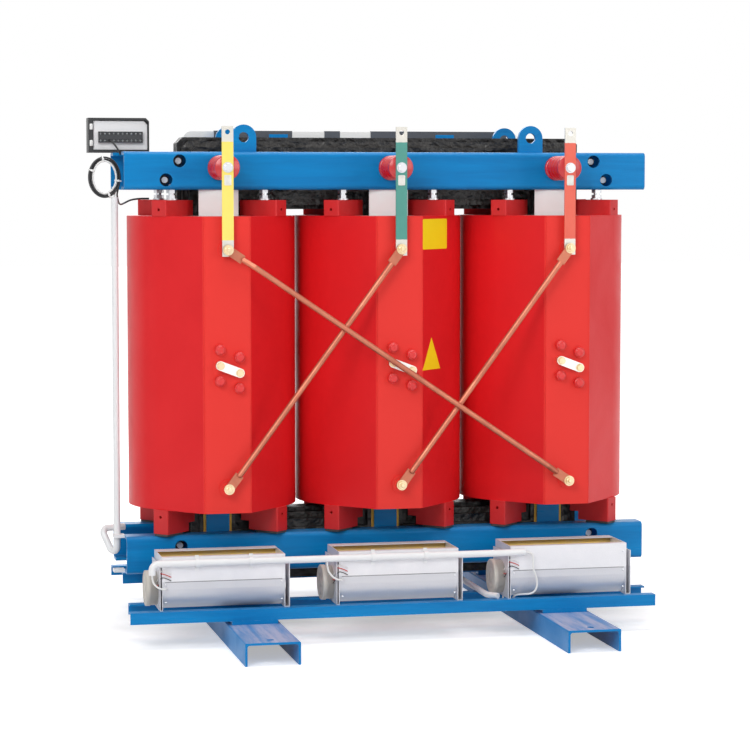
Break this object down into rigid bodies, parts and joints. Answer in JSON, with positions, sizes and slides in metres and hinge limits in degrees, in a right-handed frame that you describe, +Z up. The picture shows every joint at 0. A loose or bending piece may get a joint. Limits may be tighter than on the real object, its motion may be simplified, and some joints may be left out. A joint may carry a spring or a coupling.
{
  "type": "dry type transformer",
  "caption": "Cast-resin dry type power transformer on skids, with a stepped core, clamp beams, tap panels, terminal bars, delta rods and cross-flow fans.",
  "frame": {"origin": "on the floor, below the middle limb's centre", "axes": "+X along the phases from A to C, -Y toward the high-voltage front, +Z up"},
  "size_m": [1.523, 1.356, 1.364],
  "materials": {
    "core_steel": "matt black lacquer over laminations",
    "frame_blue": "semi-gloss enamel",
    "skid_blue": "semi-gloss enamel, top rubbed to primer",
    "tie_sheet_yellow": "glass-epoxy sheet",
    "pressboard": "dark pressboard",
    "zinc_steel": "zinc plated",
    "coil_red": "smooth pigmented cast resin",
    "lv_resin": "resin impregnated foil winding",
    "barrier_white": "smooth glass-epoxy tube",
    "block_red": "moulded resin",
    "pad_rubber": "black rubber",
    "post_red": "moulded resin",
    "phase_yellow": "enamel",
    "phase_green": "enamel",
    "phase_red": "enamel",
    "brass_bolts": "passivated",
    "copper": "insulating varnish over copper",
    "tinned_bar": "tinned",
    "plug_red": "moulded",
    "sticker_yellow": "vinyl",
    "fan_white": "powder coat",
    "fan_passivated": "yellow passivated steel",
    "motor_grey": "cast cover, grey paint",
    "sleeve_grey": "heat-shrink sleeve",
    "controller_black": "textured",
    "terminal_dark": "moulded",
    "conduit_white": "smooth",
    "cable_black": "jacket",
    "lead_white": "jacket"
  },
  "bodies": {
    "transformer": {"barrier_tubes": "barrier_white", "block_pads": "pad_rubber", "cable_coil": "cable_black", "clamp_tie_bolts": "zinc_steel", "coil_stickers": "sticker_yellow", "conduits": "conduit_white", "controller_case": "controller_black", "controller_lead": "cable_black", "controller_terminals": "terminal_dark", "core_limb_a": "core_steel", "core_limb_b": "core_steel", "core_limb_c": "core_steel", "core_lower_yoke": "core_steel", "core_upper_yoke": "core_steel", "delta_rods": "copper", "fan_casings": "fan_white", "fan_guides": "fan_passivated", "fan_lead_a": "lead_white", "fan_lead_b": "lead_white", "fan_lead_c": "lead_white", "fan_motors": "motor_grey", "fan_rails": "frame_blue", "frame_feet": "frame_blue", "hv_coil_a": "coil_red", "hv_coil_b": "coil_red", "hv_coil_c": "coil_red", "hv_terminal_bolts": "brass_bolts", "lifting_lugs": "frame_blue", "limb_tie_plates": "frame_blue", "lower_clamp_front": "frame_blue", "lower_clamp_rear": "frame_blue", "lower_support_blocks": "block_red", "lv_bars": "tinned_bar", "lv_coils": "lv_resin", "neutral_bar": "tinned_bar", "neutral_brackets": "frame_blue", "neutral_insulation": "sleeve_grey", "post_insulators": "post_red", "press_screws": "zinc_steel", "rail_packers": "frame_blue", "sensor_lead": "cable_black", "skid_left": "skid_blue", "skid_right": "skid_blue", "tap_links": "tinned_bar", "tap_plugs": "plug_red", "tap_studs": "brass_bolts", "terminal_bar_a": "phase_yellow", "terminal_bar_b": "phase_green", "terminal_bar_c": "phase_red", "tie_plate_insulation": "tie_sheet_yellow", "upper_clamp_front": "frame_blue", "upper_clamp_rear": "frame_blue", "upper_support_blocks": "block_red", "yoke_insulation": "pressboard"},
    "rotor_front_a": {"fan_impeller_front_a": "fan_passivated"},
    "rotor_front_b": {"fan_impeller_front_b": "fan_passivated"},
    "rotor_front_c": {"fan_impeller_front_c": "fan_passivated"},
    "rotor_rear_a": {"fan_impeller_rear_a": "fan_passivated"},
    "rotor_rear_b": {"fan_impeller_rear_b": "fan_passivated"},
    "rotor_rear_c": {"fan_impeller_rear_c": "fan_passivated"}
  },
  "joints": [
    {"name": "rotor_front_a_spin", "type": "hinge", "parent": "transformer", "child": "rotor_front_a", "pos_m": [-0.492, -0.33, 0.148], "axis": [1, 0, 0], "continuous": true},
    {"name": "rotor_front_b_spin", "type": "hinge", "parent": "transformer", "child": "rotor_front_b", "pos_m": [-0.032, -0.33, 0.148], "axis": [1, 0, 0], "continuous": true},
    {"name": "rotor_front_c_spin", "type": "hinge", "parent": "transformer", "child": "rotor_front_c", "pos_m": [0.428, -0.33, 0.148], "axis": [1, 0, 0], "continuous": true},
    {"name": "rotor_rear_a_spin", "type": "hinge", "parent": "transformer", "child": "rotor_rear_a", "pos_m": [-0.428, 0.33, 0.148], "axis": [1, 0, 0], "continuous": true},
    {"name": "rotor_rear_b_spin", "type": "hinge", "parent": "transformer", "child": "rotor_rear_b", "pos_m": [0.032, 0.33, 0.148], "axis": [1, 0, 0], "continuous": true},
    {"name": "rotor_rear_c_spin", "type": "hinge", "parent": "transformer", "child": "rotor_rear_c", "pos_m": [0.492, 0.33, 0.148], "axis": [1, 0, 0], "continuous": true}
  ]
}
